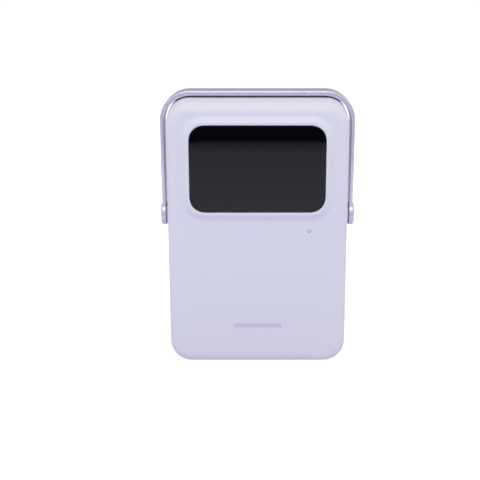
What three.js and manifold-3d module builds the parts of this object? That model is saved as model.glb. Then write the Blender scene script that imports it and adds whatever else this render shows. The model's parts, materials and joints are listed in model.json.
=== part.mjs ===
// A pocket power bank with a carrying handle that swings about two side pivots and props it up.
// Millimetres, +Z up. The base stands on z = 0, the display faces -Y, and the sockets face +X.
import * as THREE from "three";
import { mergeVertices } from "three/addons/utils/BufferGeometryUtils.js";
import Module from "manifold-3d";

const wasm = await Module();
wasm.setup();

// ---- Driving dimensions ----

const body = {
  width: 68,
  height: 102.6,
  depth: 26,
  cornerRadius: 9, // seen from the front
  edgeRadius: 3, // between the faces and the sides
  wall: 1.8,
  partingY: 8, // the shells meet here, behind the pivots
  seam: 0.3,
  lipThickness: 1,
  lipReach: 2.5,
  lipClearance: 0.2,
};

const pivot = {
  height: 57.1,
  pinRadius: 1.6,
  running: 0.1, // radial clearance of the pin in its bush
  pinLength: 7.6,
  grooveRadius: 1.15,
  grooveWidth: 0.9,
  tipLength: 0.9,
  bushFlangeRadius: 4.2,
  bushSleeveRadius: 2.3,
  washerRadius: 3,
  washerThickness: 0.5,
  clipRadius: 2.9,
  clipThickness: 0.6,
};

const handle = {
  depth: 10,
  barThickness: 1.6,
  armThickness: 1.25,
  topGap: 0.7, // between the bar and the top of the body
  sideGap: 1.25, // between the arms and the sides
  cornerRadius: 11,
  edgeRadius: 0.4,
  earRadius: 4.3,
  earRim: 0.9, // rounding of the ear's outer edge
  earProud: 0.7, // of the arm's outer face
  neckDepth: 6.4, // of the arms where they meet the ears
  taperLength: 26, // the arms narrow to the ears over this height
};

const display = {
  sideBorder: 8.6, // from the window's opening to the sides of the body
  topBorder: 9.2,
  height: 32.8,
  cornerRadius: 5.8,
  proud: 1.2, // height of the raised surround over the front face
  lip: 1,
  slope: 2.6,
  windowThickness: 1,
  windowInset: 0.1,
  windowClearance: 0.25,
  panelBorder: 2.4, // from the opening's edge to the panel
  panelThickness: 1.9,
  gasketThickness: 0.3,
  backplateThickness: 0.8,
};

const statusLight = { fromBoardEdge: 2.8, belowDisplay: 7.5, radius: 0.65, clearance: 0.1 };

const board = {
  thickness: 1.2,
  faceY: 2.95, // its component side
  width: 14.5,
  sideGap: 0.9, // to the side wall
  baseGap: 2.4, // to the floor of the shell
  topGap: 4.8,
  notch: 5.4, // half height of the cut-out beside the pivot pin
  bossRadius: 1.9,
  bossInset: 2.7, // from the board's lower and upper edges
};

const usbA = {
  width: 13.1,
  height: 5.7,
  wall: 0.35,
  depth: 13.5,
  tongueWidth: 11.1,
  tongueThickness: 1.84,
};
const usbC = {
  width: 8.94,
  height: 3.26,
  wall: 0.3,
  depth: 7.5,
  tongueWidth: 6.7,
  tongueThickness: 0.7,
};
const socket = { recess: 0.5, clearance: 0.25 };

const button = {
  length: 9.4,
  width: 3.8,
  proud: 0.3,
  clearance: 0.25,
  flange: 1,
  flangeThickness: 0.8,
  travel: 0.4,
};

const cell = {
  frontGap: 1.4, // behind the display
  edgeRadius: 1.2,
  cornerRadius: 3,
  leftGap: 5.9, // room for the left pivot inside the wall
  boardGap: 1.4,
  baseGap: 4.2,
  topGap: 8.8,
  tapeThickness: 0.4,
  padThickness: 0.8,
};

const seat = 0.1; // between pieces that rest on each other
const arcSteps = 4;
const roundSteps = 24;

// ---- Values worked out from them ----

const side = body.width / 2;
const frontY = -body.depth / 2;
const backY = body.depth / 2;
const innerSide = side - body.wall;
const innerFrontY = frontY + body.wall;
const innerBackY = backY - body.wall;
const innerTop = body.height - body.wall;
const rearEdgeY = body.partingY + body.seam;
const topRadius = body.height - pivot.height;
const displayWidth = body.width - 2 * display.sideBorder;
const displayZ = body.height - display.topBorder - display.height / 2;
const lightZ = displayZ - display.height / 2 - statusLight.belowDisplay;
const boardRight = innerSide - board.sideGap;
const boardLeft = boardRight - board.width;
const boardBottom = body.wall + board.baseGap;
const boardTop = innerTop - board.topGap;
const boardBackY = board.faceY + board.thickness;
const mountedY = board.faceY - seat; // parts on the board end here
const lightX = boardLeft + statusLight.fromBoardEdge;
const cellLeft = -innerSide + cell.leftGap;
const cellRight = boardLeft - cell.boardGap;
const cellWidth = cellRight - cellLeft;
const cellX = (cellLeft + cellRight) / 2;
const cellBottom = body.wall + cell.baseGap;
const cellTop = innerTop - cell.topGap;

// The button and the sockets are spaced evenly up the side, between the lower boss and the pivot.
const bossX = boardLeft + board.width / 3;
const bossHeights = [boardBottom + board.bossInset, boardTop - board.bossInset];
const columnBottom = bossHeights[0] + board.bossRadius + 0.3;
const columnTop = pivot.height - pivot.bushFlangeRadius - 0.8;
const flangeLength = button.length + 2 * button.flange;
const columnGap = (columnTop - columnBottom - usbA.width - usbC.width - flangeLength) / 4;
const usbAZ = columnBottom + columnGap + usbA.width / 2;
const usbCZ = usbAZ + (usbA.width + usbC.width) / 2 + columnGap;
const buttonZ = columnTop - columnGap - flangeLength / 2;

// ---- Finishes ----

function finish(color, roughness, metalness = 0) {
  return new THREE.MeshStandardMaterial({ color, roughness, metalness });
}

const finishes = {
  shell: finish(0xd4d3e5, 0.6),
  handle: finish(0xbcb4cc, 0.35, 0.3),
  smoked: finish(0x0c0c10, 0.08),
  black: finish(0x18181b, 0.7),
  clear: finish(0xc8c6d8, 0.2),
  steel: finish(0xb9bcc0, 0.3, 1),
  nickel: finish(0xc9c4b4, 0.35, 1),
  board: finish(0x1f4a35, 0.5),
  chip: finish(0x222226, 0.55),
  foil: finish(0xa9adb3, 0.4, 0.8),
  foam: finish(0x3a3a3e, 0.95),
  flex: finish(0xb3702c, 0.5),
  redWire: finish(0xb3262a, 0.5),
  blackWire: finish(0x1b1b1d, 0.5),
  bush: finish(0xb5aec6, 0.5),
};

// ---- Solids: joining and cutting ----

function toSolid(geometry) {
  const bare = geometry.index ? geometry.toNonIndexed() : geometry.clone();
  bare.deleteAttribute("normal");
  bare.deleteAttribute("uv");
  const merged = mergeVertices(bare, 1e-4);
  return new wasm.Manifold(
    new wasm.Mesh({
      numProp: 3,
      vertProperties: merged.attributes.position.array,
      triVerts: new Uint32Array(merged.index.array),
    }),
  );
}

function toGeometry(solid) {
  const mesh = solid.getMesh();
  const positions = new Float32Array(mesh.numVert * 3);
  for (let i = 0; i < mesh.numVert; i += 1) {
    const start = i * mesh.numProp;
    positions.set(mesh.vertProperties.subarray(start, start + 3), i * 3);
  }
  return new THREE.BufferGeometry()
    .setAttribute("position", new THREE.BufferAttribute(positions, 3))
    .setIndex(new THREE.BufferAttribute(mesh.triVerts, 1));
}

function join(...geometries) {
  return toGeometry(geometries.map(toSolid).reduce((sum, next) => sum.add(next)));
}

function cut(geometry, ...tools) {
  return toGeometry(tools.map(toSolid).reduce((rest, tool) => rest.subtract(tool), toSolid(geometry)));
}

function overlap(a, b) {
  return toGeometry(toSolid(a).intersect(toSolid(b)));
}

// ---- Outlines and extrusions ----

function roundedRectangle(width, height, radius, centreX = 0, centreY = 0) {
  const x = width / 2 - radius;
  const y = height / 2 - radius;
  const quarter = Math.PI / 2;
  const outline = new THREE.Shape();
  outline.absarc(centreX + x, centreY + y, radius, 0, quarter);
  outline.absarc(centreX - x, centreY + y, radius, quarter, 2 * quarter);
  outline.absarc(centreX - x, centreY - y, radius, 2 * quarter, 3 * quarter);
  outline.absarc(centreX + x, centreY - y, radius, 3 * quarter, 4 * quarter);
  return outline;
}

function polygon(points) {
  return new THREE.Shape(points.map(([x, y]) => new THREE.Vector2(x, y)));
}

// Extrudes from 0 to length along local Z; an edge of its own rise and run rounds both ends.
function extrude(outline, length, { rise = 0, run = rise, edgeSteps = 3, steps = 1 } = {}) {
  return new THREE.ExtrudeGeometry(outline, {
    depth: length - 2 * rise,
    steps,
    curveSegments: arcSteps,
    bevelEnabled: rise > 0,
    bevelThickness: rise,
    bevelSize: run,
    bevelOffset: -run,
    bevelSegments: edgeSteps,
  }).translate(0, 0, rise);
}

// An (x, z) outline carried along Y.
function alongY(outline, fromY, toY, options) {
  return extrude(outline, toY - fromY, options)
    .rotateX(Math.PI / 2)
    .translate(0, toY, 0);
}

// A (y, z) outline carried along X.
function alongX(outline, fromX, toX, options) {
  const turn = new THREE.Matrix4().makeBasis(
    new THREE.Vector3(0, 1, 0),
    new THREE.Vector3(0, 0, 1),
    new THREE.Vector3(1, 0, 0),
  );
  return extrude(outline, toX - fromX, options)
    .applyMatrix4(turn)
    .translate(fromX, 0, 0);
}

function block([x0, x1], [y0, y1], [z0, z1]) {
  return new THREE.BoxGeometry(x1 - x0, y1 - y0, z1 - z0).translate(
    (x0 + x1) / 2,
    (y0 + y1) / 2,
    (z0 + z1) / 2,
  );
}

// A profile of [x, radius] points turned about the line y = 0, z = height.
function turnedAboutX(profile, height) {
  const points = profile.map(([x, radius]) => new THREE.Vector2(radius, x));
  return new THREE.LatheGeometry(points, roundSteps)
    .rotateZ(-Math.PI / 2)
    .translate(0, 0, height);
}

function rodAlongY(radius, x, z, fromY, toY, steps = 12) {
  return new THREE.CylinderGeometry(radius, radius, toY - fromY, steps).translate(
    x,
    (fromY + toY) / 2,
    z,
  );
}

function rodAlongX(radius, y, z, fromX, toX) {
  return new THREE.CylinderGeometry(radius, radius, toX - fromX, roundSteps)
    .rotateZ(Math.PI / 2)
    .translate((fromX + toX) / 2, y, z);
}

// ---- The shells ----

// The top is crowned about the pivot axis, so that the bar clears it as it swings over. The crown
// fades out from full at the corner's start to nothing halfway down to the pivot.
function crown(geometry) {
  const full = topRadius - body.cornerRadius;
  const none = full / 2;
  const position = geometry.attributes.position;
  for (let i = 0; i < position.count; i += 1) {
    const y = position.getY(i);
    const rise = position.getZ(i) - pivot.height;
    const share = THREE.MathUtils.smoothstep(rise, none, full);
    if (share > 0) {
      position.setZ(i, pivot.height + Math.sqrt(rise * rise - y * y * share));
    }
  }
  return geometry;
}

function bodyBlock(inset, fromY, toY, options) {
  const outline = roundedRectangle(
    body.width - 2 * inset,
    body.height - 2 * inset,
    body.cornerRadius - inset,
    0,
    body.height / 2,
  );
  return crown(alongY(outline, fromY, toY, options));
}

function outerBlock() {
  return bodyBlock(0, frontY, backY, { rise: body.edgeRadius, edgeSteps: 5, steps: 8 });
}

function behind(y) {
  return block([-body.width, body.width], [y, y + body.depth], [-1, 2 * body.height]);
}

function displayOutline(grow) {
  return roundedRectangle(
    displayWidth + 2 * grow,
    display.height + 2 * grow,
    display.cornerRadius + grow,
    0,
    displayZ,
  );
}

function surround() {
  const wallShare = body.wall - 2 * seat;
  const outline = displayOutline(display.lip + display.slope);
  const sloping = { rise: display.proud, run: display.slope };
  return alongY(outline, frontY - display.proud, frontY + wallShare, sloping);
}

function stadium(width, length, centreZ) {
  const radius = width / 2;
  const reach = length / 2 - radius;
  const outline = new THREE.Shape();
  outline.absarc(0, centreZ + reach, radius, 0, Math.PI);
  outline.absarc(0, centreZ - reach, radius, Math.PI, 2 * Math.PI);
  return outline;
}

function buttonOutline(grow) {
  return stadium(button.width + 2 * grow, button.length + 2 * grow, buttonZ);
}

function socketOutline(part, grow) {
  const height = part.height + 2 * grow;
  const width = part.width + 2 * grow;
  return part === usbC ? stadium(height, width, usbCZ) : roundedRectangle(height, width, 0.5, 0, usbAZ);
}

function frontShell() {
  const outside = innerSide - seat;
  const beyond = side + body.wall;
  const windowBackY = frontY - display.proud + display.windowInset + display.windowThickness;
  const ledgeY = windowBackY + display.gasketThickness + 2 * seat;
  const pivotHole = pivot.bushSleeveRadius + pivot.running;
  const tools = [
    bodyBlock(body.wall, innerFrontY, backY, { steps: 4 }),
    alongY(displayOutline(0), frontY - 2 * display.proud, ledgeY),
    alongY(panelOutline(display.windowClearance), ledgeY - 1, innerFrontY + 1),
    rodAlongY(statusLight.radius + statusLight.clearance, lightX, lightZ, frontY - 1, innerFrontY + 1),
    rodAlongX(pivotHole, 0, pivot.height, outside, beyond),
    rodAlongX(pivotHole, 0, pivot.height, -beyond, -outside),
    alongX(buttonOutline(button.clearance), outside, beyond),
    alongX(socketOutline(usbC, socket.clearance), outside, beyond),
    alongX(socketOutline(usbA, socket.clearance), outside, beyond),
  ];
  const bosses = bossHeights.map((z) => {
    const boss = rodAlongY(board.bossRadius, bossX, z, innerFrontY - seat, mountedY, 16);
    return cut(boss, rodAlongY(0.75, bossX, z, mountedY - 4, mountedY + 1));
  });
  return join(cut(join(cut(outerBlock(), behind(body.partingY)), surround()), ...tools), ...bosses);
}

function rearCover() {
  const lipInset = body.wall + body.lipClearance;
  const lip = bodyBlock(lipInset, body.partingY - body.lipReach, innerBackY, { steps: 2 });
  const lipHollow = bodyBlock(lipInset + body.lipThickness, 0, innerBackY, { steps: 2 });
  const pan = overlap(outerBlock(), behind(rearEdgeY));
  const panHollow = bodyBlock(body.wall, 0, innerBackY, { steps: 4 });
  return join(cut(pan, panHollow), cut(lip, lipHollow, behind(rearEdgeY + 1)), lipBridge(lipInset));
}

// The lip stands on a thin ledge that closes the clearance between it and the wall.
function lipBridge(lipInset) {
  const ledge = bodyBlock(body.wall - seat, rearEdgeY, rearEdgeY + 1, { steps: 1 });
  return cut(ledge, bodyBlock(lipInset + body.lipThickness, 0, backY, { steps: 2 }));
}

// ---- The display ----

const windowFrontY = frontY - display.proud + display.windowInset;
const windowBackY = windowFrontY + display.windowThickness;
const panelFrontY = windowBackY + display.gasketThickness + 2 * seat;
const panelBackY = panelFrontY + display.panelThickness;
const backplateFrontY = panelBackY + seat;
const backplateBackY = backplateFrontY + display.backplateThickness;

function displayWindow() {
  return alongY(displayOutline(-display.windowClearance), windowFrontY, windowBackY);
}

function displayGasket() {
  const outline = displayOutline(-2 * display.windowClearance);
  outline.holes.push(panelOutline(display.windowClearance));
  return alongY(outline, windowBackY + seat, windowBackY + seat + display.gasketThickness);
}

function panelOutline(grow) {
  const border = display.panelBorder - grow;
  return roundedRectangle(displayWidth - 2 * border, display.height - 2 * border, 2 + grow, 0, displayZ);
}

function displayPanel() {
  return alongY(panelOutline(0), panelFrontY, panelBackY);
}

function displayBackplate() {
  return alongY(panelOutline(0), backplateFrontY, backplateBackY);
}

// A thin ribbon from the panel's right edge back to the board.
function displayFlex() {
  const thickness = 0.2;
  const startX = displayWidth / 2 - display.panelBorder - 3;
  const bendX = displayWidth / 2 - display.panelBorder + 1;
  const startY = backplateBackY + seat;
  const endY = mountedY - seat;
  const bendY = startY + 2;
  const outer = [
    [startX, startY],
    [bendX - 1, startY],
    [bendX, startY + 1],
    [bendX, endY - 1],
    [bendX - 1, endY],
    [bendX - 3, endY],
  ];
  const inner = [
    [bendX - 3, endY - thickness],
    [bendX - 1 - thickness, endY - thickness],
    [bendX - thickness, endY - 1 - thickness],
    [bendX - thickness, bendY],
    [bendX - 1 - thickness, startY + thickness],
    [startX, startY + thickness],
  ];
  const width = 8;
  return extrude(polygon([...outer, ...inner]), width).translate(0, 0, displayZ + 2);
}

// ---- The board and what it carries ----

function mainBoard() {
  const notchLeft = innerSide - pivot.pinLength + 1;
  const outline = polygon([
    [boardLeft, boardBottom],
    [boardRight, boardBottom + 6],
    [boardRight, pivot.height - board.notch],
    [notchLeft, pivot.height - board.notch],
    [notchLeft, pivot.height + board.notch],
    [boardRight, pivot.height + board.notch],
    [boardRight, boardTop - 6],
    [boardLeft, boardTop],
  ]);
  const holes = bossHeights.map((z) => rodAlongY(0.9, bossX, z, board.faceY - 1, boardBackY + 1));
  return cut(alongY(outline, board.faceY, boardBackY), ...holes);
}

function socketShell(part) {
  const outline = socketOutline(part, 0);
  outline.holes.push(socketOutline(part, -part.wall));
  const mouth = side - socket.recess;
  return alongX(outline, mouth - part.depth, mouth);
}

// The moulding inside a socket: a tongue, the block that plugs the shell, and its foot on the board.
function socketTongue(part, z, tongueY) {
  const mouth = side - socket.recess;
  const rear = mouth - part.depth;
  const halfY = part.height / 2 - part.wall - seat;
  const halfZ = part.width / 2 - part.wall - 2 * seat;
  const inset = part === usbC ? halfY : 0;
  const tongue = block(
    [rear, mouth - 0.8],
    [tongueY - part.tongueThickness / 2, tongueY + part.tongueThickness / 2],
    [z - part.tongueWidth / 2, z + part.tongueWidth / 2],
  );
  const plug = block([rear - 0.2, rear + 1.4], [-halfY, halfY], [z - halfZ + inset, z + halfZ - inset]);
  const foot = block([rear - 1.4, rear - 0.1], [-halfY, mountedY], [z - halfZ, z + halfZ]);
  return join(tongue, plug, foot);
}

function powerSwitch() {
  const frontFace = innerSide - button.flangeThickness - button.travel - 4 * seat;
  const housing = block(
    [frontFace - 3.4, frontFace - 0.6],
    [-1.6, mountedY],
    [buttonZ - 3, buttonZ + 3],
  );
  const plunger = block(
    [frontFace - 0.8, frontFace],
    [-0.8, 0.8],
    [buttonZ - 1.4, buttonZ + 1.4],
  );
  return join(housing, plunger);
}

function powerButton() {
  const rounding = { rise: 0.25, edgeSteps: 2 };
  const cap = alongX(buttonOutline(0), innerSide - 2 * seat, side + button.proud, rounding);
  const flangeFront = innerSide - seat;
  const flange = alongX(buttonOutline(button.flange), flangeFront - button.flangeThickness, flangeFront);
  return join(cap, flange);
}

function statusLed() {
  return block(
    [lightX - 0.8, lightX + 0.8],
    [mountedY - 0.6, mountedY],
    [lightZ - 0.4, lightZ + 0.4],
  );
}

function statusLightPipe() {
  return rodAlongY(statusLight.radius, lightX, lightZ, frontY + 0.05, mountedY - 0.6 - seat, roundSteps);
}

function onBoard(width, height, thickness, z, offsetX = 0) {
  const x = (boardLeft + boardRight) / 2 + offsetX;
  return new THREE.BoxGeometry(width, thickness, height).translate(x, mountedY - thickness / 2, z);
}

function filterCapacitor() {
  return rodAlongY(1.9, boardLeft + 2.6, usbCZ, mountedY - 5.4, mountedY, 16);
}

function boardScrew(z) {
  const headY = boardBackY + seat;
  return join(
    rodAlongY(1.5, bossX, z, headY, headY + 0.9, 16),
    rodAlongY(0.65, bossX, z, mountedY - 3.4, headY + 0.2),
  );
}

// ---- The cells ----

const frontCellFrontY = backplateBackY + cell.frontGap;
const rearCellBackY = innerBackY - cell.padThickness - 2 * seat;
const betweenCells = cell.tapeThickness + 2 * seat;
const cellThickness = (rearCellBackY - frontCellFrontY - betweenCells) / 2;
const frontCellBackY = frontCellFrontY + cellThickness;
const rearCellFrontY = rearCellBackY - cellThickness;
const protectionY = (frontCellBackY + rearCellFrontY) / 2;
const protectionHalf = 0.5;

function pouchCell(fromY, toY) {
  const outline = roundedRectangle(
    cellWidth,
    cellTop - cellBottom,
    cell.cornerRadius,
    cellX,
    (cellTop + cellBottom) / 2,
  );
  return alongY(outline, fromY, toY, { rise: cell.edgeRadius, edgeSteps: 2 });
}

function cellSheet(fromY, toY, border) {
  return block(
    [cellLeft + border, cellRight - border],
    [fromY, toY],
    [cellBottom + border, cellTop - border],
  );
}

function protectionBoard() {
  return block(
    [cellLeft + 2, cellRight - 3],
    [protectionY - protectionHalf, protectionY + protectionHalf],
    [cellTop + 1, cellTop + 5.6],
  );
}

// A nickel strip up from a cell and across to the face of the protection board on its side.
function cellTab(cellY, x) {
  const towards = Math.sign(protectionY - cellY);
  const boardFace = protectionY - towards * (protectionHalf + seat);
  const bottom = cellTop + seat;
  const rise = 2.6;
  const strip = 0.25;
  const upright = [cellY, cellY + towards * strip].sort((a, b) => a - b);
  const across = [cellY, boardFace].sort((a, b) => a - b);
  const landing = [boardFace, boardFace - towards * strip].sort((a, b) => a - b);
  const width = [x - 2, x + 2];
  return join(
    block(width, upright, [bottom, bottom + rise]),
    block(width, across, [bottom + rise - strip, bottom + rise]),
    block(width, landing, [bottom + rise - strip, bottom + rise + 1.5]),
  );
}

// A short lead from the end of the protection board over to the main board. The second lead runs
// inside the bend of the first.
function batteryLead(lane) {
  const pitch = 1.7;
  const start = new THREE.Vector3(cellRight - 2.6, protectionY, cellTop + 3.8 - pitch * lane);
  const end = new THREE.Vector3(boardLeft + 2.3 - pitch * lane, mountedY - seat, boardTop - 7.4);
  const route = new THREE.CatmullRomCurve3([
    start,
    start.clone().add(new THREE.Vector3(1.6, 0, 0)),
    new THREE.Vector3(end.x - 0.6, protectionY - 1, start.z - 1.6),
    end.clone().add(new THREE.Vector3(0, -2.4, 0.4)),
    end,
  ]);
  const section = new THREE.Shape().absarc(0, 0, 0.6, 0, 2 * Math.PI);
  return new THREE.ExtrudeGeometry(section, {
    steps: 20,
    curveSegments: arcSteps,
    bevelEnabled: false,
    extrudePath: route,
  });
}

// ---- The handle and its pivots ----

const armInner = side + handle.sideGap;
const armOuter = armInner + handle.armThickness;
const barBottom = body.height + handle.topGap;
const barTop = barBottom + handle.barThickness;
const innerCorner = handle.cornerRadius - handle.armThickness;

function handleBand() {
  const band = new THREE.Shape();
  const quarter = Math.PI / 2;
  const outerX = armOuter - handle.cornerRadius;
  const outerZ = barTop - handle.cornerRadius;
  const innerX = armInner - innerCorner;
  const innerZ = barBottom - innerCorner;
  band.moveTo(armOuter, pivot.height);
  band.absarc(outerX, outerZ, handle.cornerRadius, 0, quarter);
  band.absarc(-outerX, outerZ, handle.cornerRadius, quarter, 2 * quarter);
  band.lineTo(-armOuter, pivot.height);
  band.lineTo(-armInner, pivot.height);
  band.absarc(-innerX, innerZ, innerCorner, 2 * quarter, quarter, true);
  band.absarc(innerX, innerZ, innerCorner, quarter, 0, true);
  band.lineTo(armInner, pivot.height);
  return alongY(band, -handle.depth / 2, handle.depth / 2, { rise: handle.edgeRadius, edgeSteps: 2 });
}

// Seen from the side, each arm narrows towards the ear.
function sideProfile() {
  const half = handle.depth / 2 + 1;
  const narrow = handle.neckDepth / 2;
  const start = pivot.height + handle.earRadius;
  const full = start + handle.taperLength;
  const middle = (start + full) / 2;
  const profile = new THREE.Shape();
  profile.moveTo(-narrow, pivot.height - 1);
  profile.lineTo(narrow, pivot.height - 1);
  profile.lineTo(narrow, start);
  profile.bezierCurveTo(narrow, middle, half, middle, half, full);
  profile.lineTo(half, barTop + 1);
  profile.lineTo(-half, barTop + 1);
  profile.lineTo(-half, full);
  profile.bezierCurveTo(-half, middle, -narrow, middle, -narrow, start);
  return alongX(profile, -armOuter - 2, armOuter + 2);
}

// The ear is a disc with a rounded rim and a blind bore for the pin.
function ear(sign) {
  const outer = armOuter + handle.earProud;
  const rim = handle.earRim;
  const profile = [[armInner, 0], [armInner, handle.earRadius]];
  for (let step = 0; step <= arcSteps; step += 1) {
    const angle = (step / arcSteps) * (Math.PI / 2);
    profile.push([outer - rim + rim * Math.sin(angle), handle.earRadius - rim + rim * Math.cos(angle)]);
  }
  profile.push([outer, 0]);
  return mirrored(turnedAboutX(profile, pivot.height), sign);
}

// Turns a right-hand piece half round about the vertical line through the middle for the left side.
function mirrored(geometry, sign) {
  return sign > 0 ? geometry : geometry.rotateZ(Math.PI);
}

const pinOuterX = armInner + 1.1;
const pinInnerX = pinOuterX - pivot.pinLength;

function handlePiece() {
  const boreRadius = pivot.pinRadius + pivot.running / 2;
  const bore = rodAlongX(boreRadius, 0, pivot.height, armInner - 1, pinOuterX + seat);
  const band = overlap(handleBand(), sideProfile());
  return cut(join(band, ear(1), ear(-1)), bore.clone(), bore.clone().rotateZ(Math.PI));
}

function pivotPin(sign) {
  const grooveInner = pinInnerX + pivot.tipLength;
  const grooveOuter = grooveInner + pivot.grooveWidth;
  const profile = [
    [pinInnerX, 0],
    [pinInnerX, pivot.pinRadius],
    [grooveInner, pivot.pinRadius],
    [grooveInner, pivot.grooveRadius],
    [grooveOuter, pivot.grooveRadius],
    [grooveOuter, pivot.pinRadius],
    [pinOuterX, pivot.pinRadius],
    [pinOuterX, 0],
  ];
  return mirrored(turnedAboutX(profile, pivot.height), sign);
}

function ring(innerRadius, outerRadius, fromX, toX) {
  return turnedAboutX(
    [
      [fromX, innerRadius],
      [fromX, outerRadius],
      [toX, outerRadius],
      [toX, innerRadius],
      [fromX, innerRadius],
    ],
    pivot.height,
  );
}

const bushBore = pivot.pinRadius + pivot.running;
const bushInnerX = innerSide - 0.2;

function pivotBush(sign) {
  const flangeFrom = side + 1.5 * seat;
  const flangeTo = armInner - 1.5 * seat;
  const bush = join(
    ring(bushBore, pivot.bushFlangeRadius, flangeFrom, flangeTo),
    ring(bushBore, pivot.bushSleeveRadius, bushInnerX, flangeFrom + 0.2),
  );
  return mirrored(bush, sign);
}

const clipOuterX = pinInnerX + pivot.tipLength + (pivot.grooveWidth + pivot.clipThickness) / 2;

function frictionWasher(sign) {
  const washer = ring(
    bushBore,
    pivot.washerRadius,
    clipOuterX + seat,
    clipOuterX + seat + pivot.washerThickness,
  );
  return mirrored(washer, sign);
}

function retainingClip(sign) {
  const clip = ring(
    pivot.grooveRadius + seat,
    pivot.clipRadius,
    clipOuterX - pivot.clipThickness,
    clipOuterX,
  );
  const mouth = block([0, side], [-0.9, 0.9], [pivot.height - 2 * pivot.clipRadius, pivot.height]);
  return mirrored(cut(clip, mouth), sign);
}

// ---- Assembly ----

const powerBank = new THREE.Group();

function add(name, geometry, material) {
  const mesh = new THREE.Mesh(geometry, material);
  mesh.name = name;
  powerBank.add(mesh);
}

add("front_shell", frontShell(), finishes.shell);
add("rear_cover", rearCover(), finishes.shell);
add("display_window", displayWindow(), finishes.smoked);
add("display_gasket", displayGasket(), finishes.black);
add("display_panel", displayPanel(), finishes.black);
add("display_backplate", displayBackplate(), finishes.steel);
add("display_flex", displayFlex(), finishes.flex);
add("status_light_pipe", statusLightPipe(), finishes.clear);
add("status_led", statusLed(), finishes.chip);
add("main_board", mainBoard(), finishes.board);
add("usb_a_shell", socketShell(usbA), finishes.steel);
add("usb_a_tongue", socketTongue(usbA, usbAZ, -0.7), finishes.black);
add("usb_c_shell", socketShell(usbC), finishes.steel);
add("usb_c_tongue", socketTongue(usbC, usbCZ, 0), finishes.black);
add("power_switch", powerSwitch(), finishes.chip);
add("power_button", powerButton(), finishes.handle);
add("controller_chip", onBoard(6, 6, 0.9, boardTop - 29.4, -1.5), finishes.chip);
add("power_inductor", onBoard(7, 7, 3, boardTop - 21.5, 1), finishes.chip);
add("filter_capacitor", filterCapacitor(), finishes.foil);
add("rear_cell", pouchCell(rearCellFrontY, rearCellBackY), finishes.foil);
add("front_cell", pouchCell(frontCellFrontY, frontCellBackY), finishes.foil);
add("cell_tape", cellSheet(frontCellBackY + seat, rearCellFrontY - seat, 4), finishes.foam);
add("rear_foam_pad", cellSheet(rearCellBackY + seat, innerBackY - seat, 6), finishes.foam);
add("protection_board", protectionBoard(), finishes.board);
add("battery_lead_positive", batteryLead(0), finishes.redWire);
add("battery_lead_negative", batteryLead(1), finishes.blackWire);
add("handle", handlePiece(), finishes.handle);

const cellMiddles = {
  front: (frontCellFrontY + frontCellBackY) / 2,
  rear: (rearCellFrontY + rearCellBackY) / 2,
};
for (const [which, y] of Object.entries(cellMiddles)) {
  add(`${which}_cell_positive_tab`, cellTab(y, cellX - 11), finishes.nickel);
  add(`${which}_cell_negative_tab`, cellTab(y, cellX + 9), finishes.nickel);
}

for (const [which, z] of [["lower", bossHeights[0]], ["upper", bossHeights[1]]]) {
  add(`${which}_board_screw`, boardScrew(z), finishes.steel);
}

for (const [which, sign] of [["right", 1], ["left", -1]]) {
  add(`${which}_pivot_pin`, pivotPin(sign), finishes.steel);
  add(`${which}_pivot_bush`, pivotBush(sign), finishes.bush);
  add(`${which}_friction_washer`, frictionWasher(sign), finishes.nickel);
  add(`${which}_retaining_clip`, retainingClip(sign), finishes.steel);
}

export default powerBank;
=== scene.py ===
import json
import math

import bmesh
import bpy
import numpy as np
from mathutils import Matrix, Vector


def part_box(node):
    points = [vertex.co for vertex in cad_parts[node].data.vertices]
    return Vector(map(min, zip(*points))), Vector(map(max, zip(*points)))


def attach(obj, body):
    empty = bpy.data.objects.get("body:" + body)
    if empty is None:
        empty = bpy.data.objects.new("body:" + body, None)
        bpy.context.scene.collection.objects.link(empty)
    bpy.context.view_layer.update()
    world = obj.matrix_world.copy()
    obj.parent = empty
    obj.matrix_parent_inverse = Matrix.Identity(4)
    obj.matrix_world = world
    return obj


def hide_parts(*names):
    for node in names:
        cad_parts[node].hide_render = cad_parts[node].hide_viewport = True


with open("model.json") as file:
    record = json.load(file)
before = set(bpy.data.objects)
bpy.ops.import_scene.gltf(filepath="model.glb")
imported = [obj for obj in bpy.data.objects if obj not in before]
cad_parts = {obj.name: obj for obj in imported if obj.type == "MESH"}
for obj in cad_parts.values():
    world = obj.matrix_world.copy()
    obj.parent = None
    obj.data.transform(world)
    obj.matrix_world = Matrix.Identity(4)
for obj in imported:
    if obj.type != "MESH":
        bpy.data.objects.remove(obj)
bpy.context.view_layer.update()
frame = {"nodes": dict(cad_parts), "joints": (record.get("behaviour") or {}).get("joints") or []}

print("frame loaded,", len(frame["nodes"]), "nodes")

# Lengths below are millimetres until a mesh is written.
metresPerMm = 0.001
quarterTurn = math.pi / 2


def nodeBox(node):
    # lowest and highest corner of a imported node, in millimetres
    low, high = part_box(node)
    return np.array(low) / metresPerMm, np.array(high) / metresPerMm


frontHigh = nodeBox("front_shell")[1]
rearLow, rearHigh = nodeBox("rear_cover")
windowLow, windowHigh = nodeBox("display_window")
handleHigh = nodeBox("handle")[1]
pivotHeight = frame["joints"][0]["pos_m"][2] / metresPerMm

body = {
    "halfWidth": frontHigh[0],
    "height": frontHigh[2],
    "frontY": -rearHigh[1],
    "backY": rearHigh[1],
    "partingY": frontHigh[1],
    "seam": 0.3,
    "cornerRadius": 8.3,
    "edgeRadius": 3,
    "wall": 1.8,
    "insideRows": [4, 0, -4, -8],  # depths at which the inside is divided
    "capInset": 7.5,  # under the corner radius, or the cap folds over itself
    "rimRound": 0.2,  # of the edges where the shells meet
    "crownFull": 35.5,  # height over the pivot where the top is fully crowned
    "crownNone": 17.75,
}


def steps(count, start=0.0, end=1.0):
    return np.linspace(start, end, count + 1)


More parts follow.
